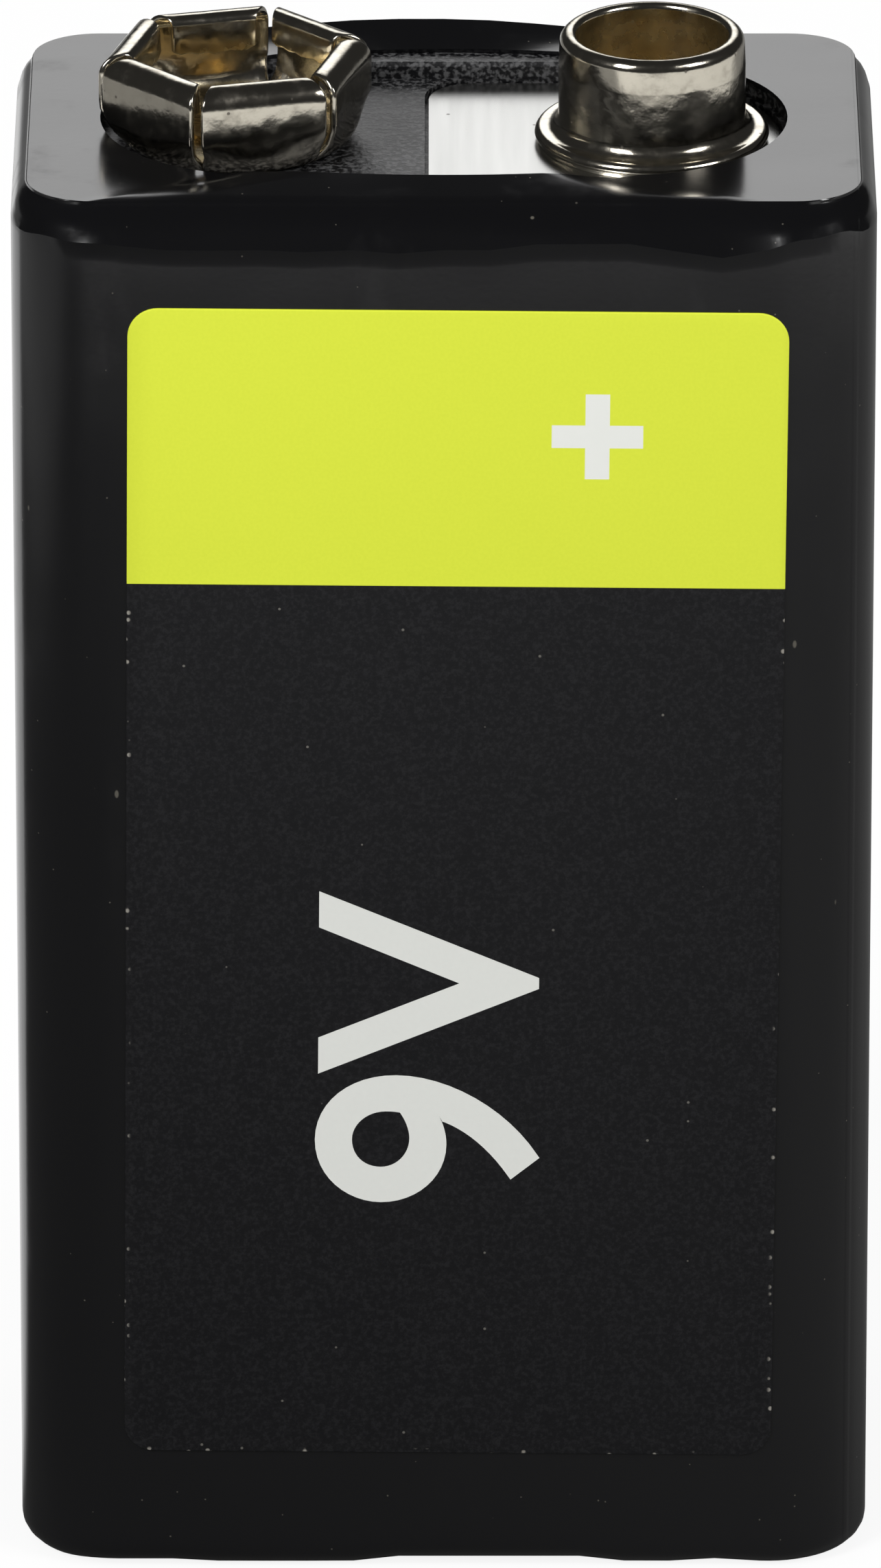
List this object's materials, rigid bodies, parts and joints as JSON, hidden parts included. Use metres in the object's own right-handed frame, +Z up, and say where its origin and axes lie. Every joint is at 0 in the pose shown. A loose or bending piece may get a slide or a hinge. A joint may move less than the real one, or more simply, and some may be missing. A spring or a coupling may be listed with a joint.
{
  "type": "nine volt battery",
  "caption": "Flat upright block battery in black film with a printed front label and snap terminals on top.",
  "frame": {"origin": "middle of the underside, where the block stands", "axes": "+Z up through the terminals, +X from the socket to the stud, the label faces -Y"},
  "size_m": [0.0262, 0.0167, 0.0479],
  "materials": {
    "film": "satin black shrink film",
    "label_print": "matt black sticker with a lime field",
    "case_plastic": "fine spark-eroded black",
    "plate_metal": "bright flat plate",
    "terminal_nickel": "drawn nickel plate",
    "brass": "plain",
    "strip_nickel": "rolled strip",
    "cell_steel": "nickel-plated can",
    "fibre_card": "insulating card"
  },
  "bodies": {
    "root": {"shrink_sleeve": "film", "front_label": "label_print", "case_shell": "case_plastic", "base_lid": "case_plastic", "contact_plate": "plate_metal", "positive_stud": "terminal_nickel", "negative_socket": "terminal_nickel", "stud_rivet": "brass", "socket_rivet": "brass", "positive_lead": "strip_nickel", "negative_lead": "strip_nickel", "base_card": "fibre_card", "top_card": "fibre_card", "side_card": "fibre_card", "cell_1": "cell_steel", "cell_ring_1": "fibre_card", "cell_2": "cell_steel", "cell_ring_2": "fibre_card", "cell_3": "cell_steel", "cell_ring_3": "fibre_card", "cell_4": "cell_steel", "cell_ring_4": "fibre_card", "cell_5": "cell_steel", "cell_ring_5": "fibre_card", "cell_6": "cell_steel", "cell_ring_6": "fibre_card", "cell_7": "cell_steel", "cell_ring_7": "fibre_card", "link_tab_1": "strip_nickel", "link_tab_2": "strip_nickel", "link_tab_3": "strip_nickel", "link_tab_4": "strip_nickel", "link_tab_5": "strip_nickel", "link_tab_6": "strip_nickel"}
  },
  "joints": []
}
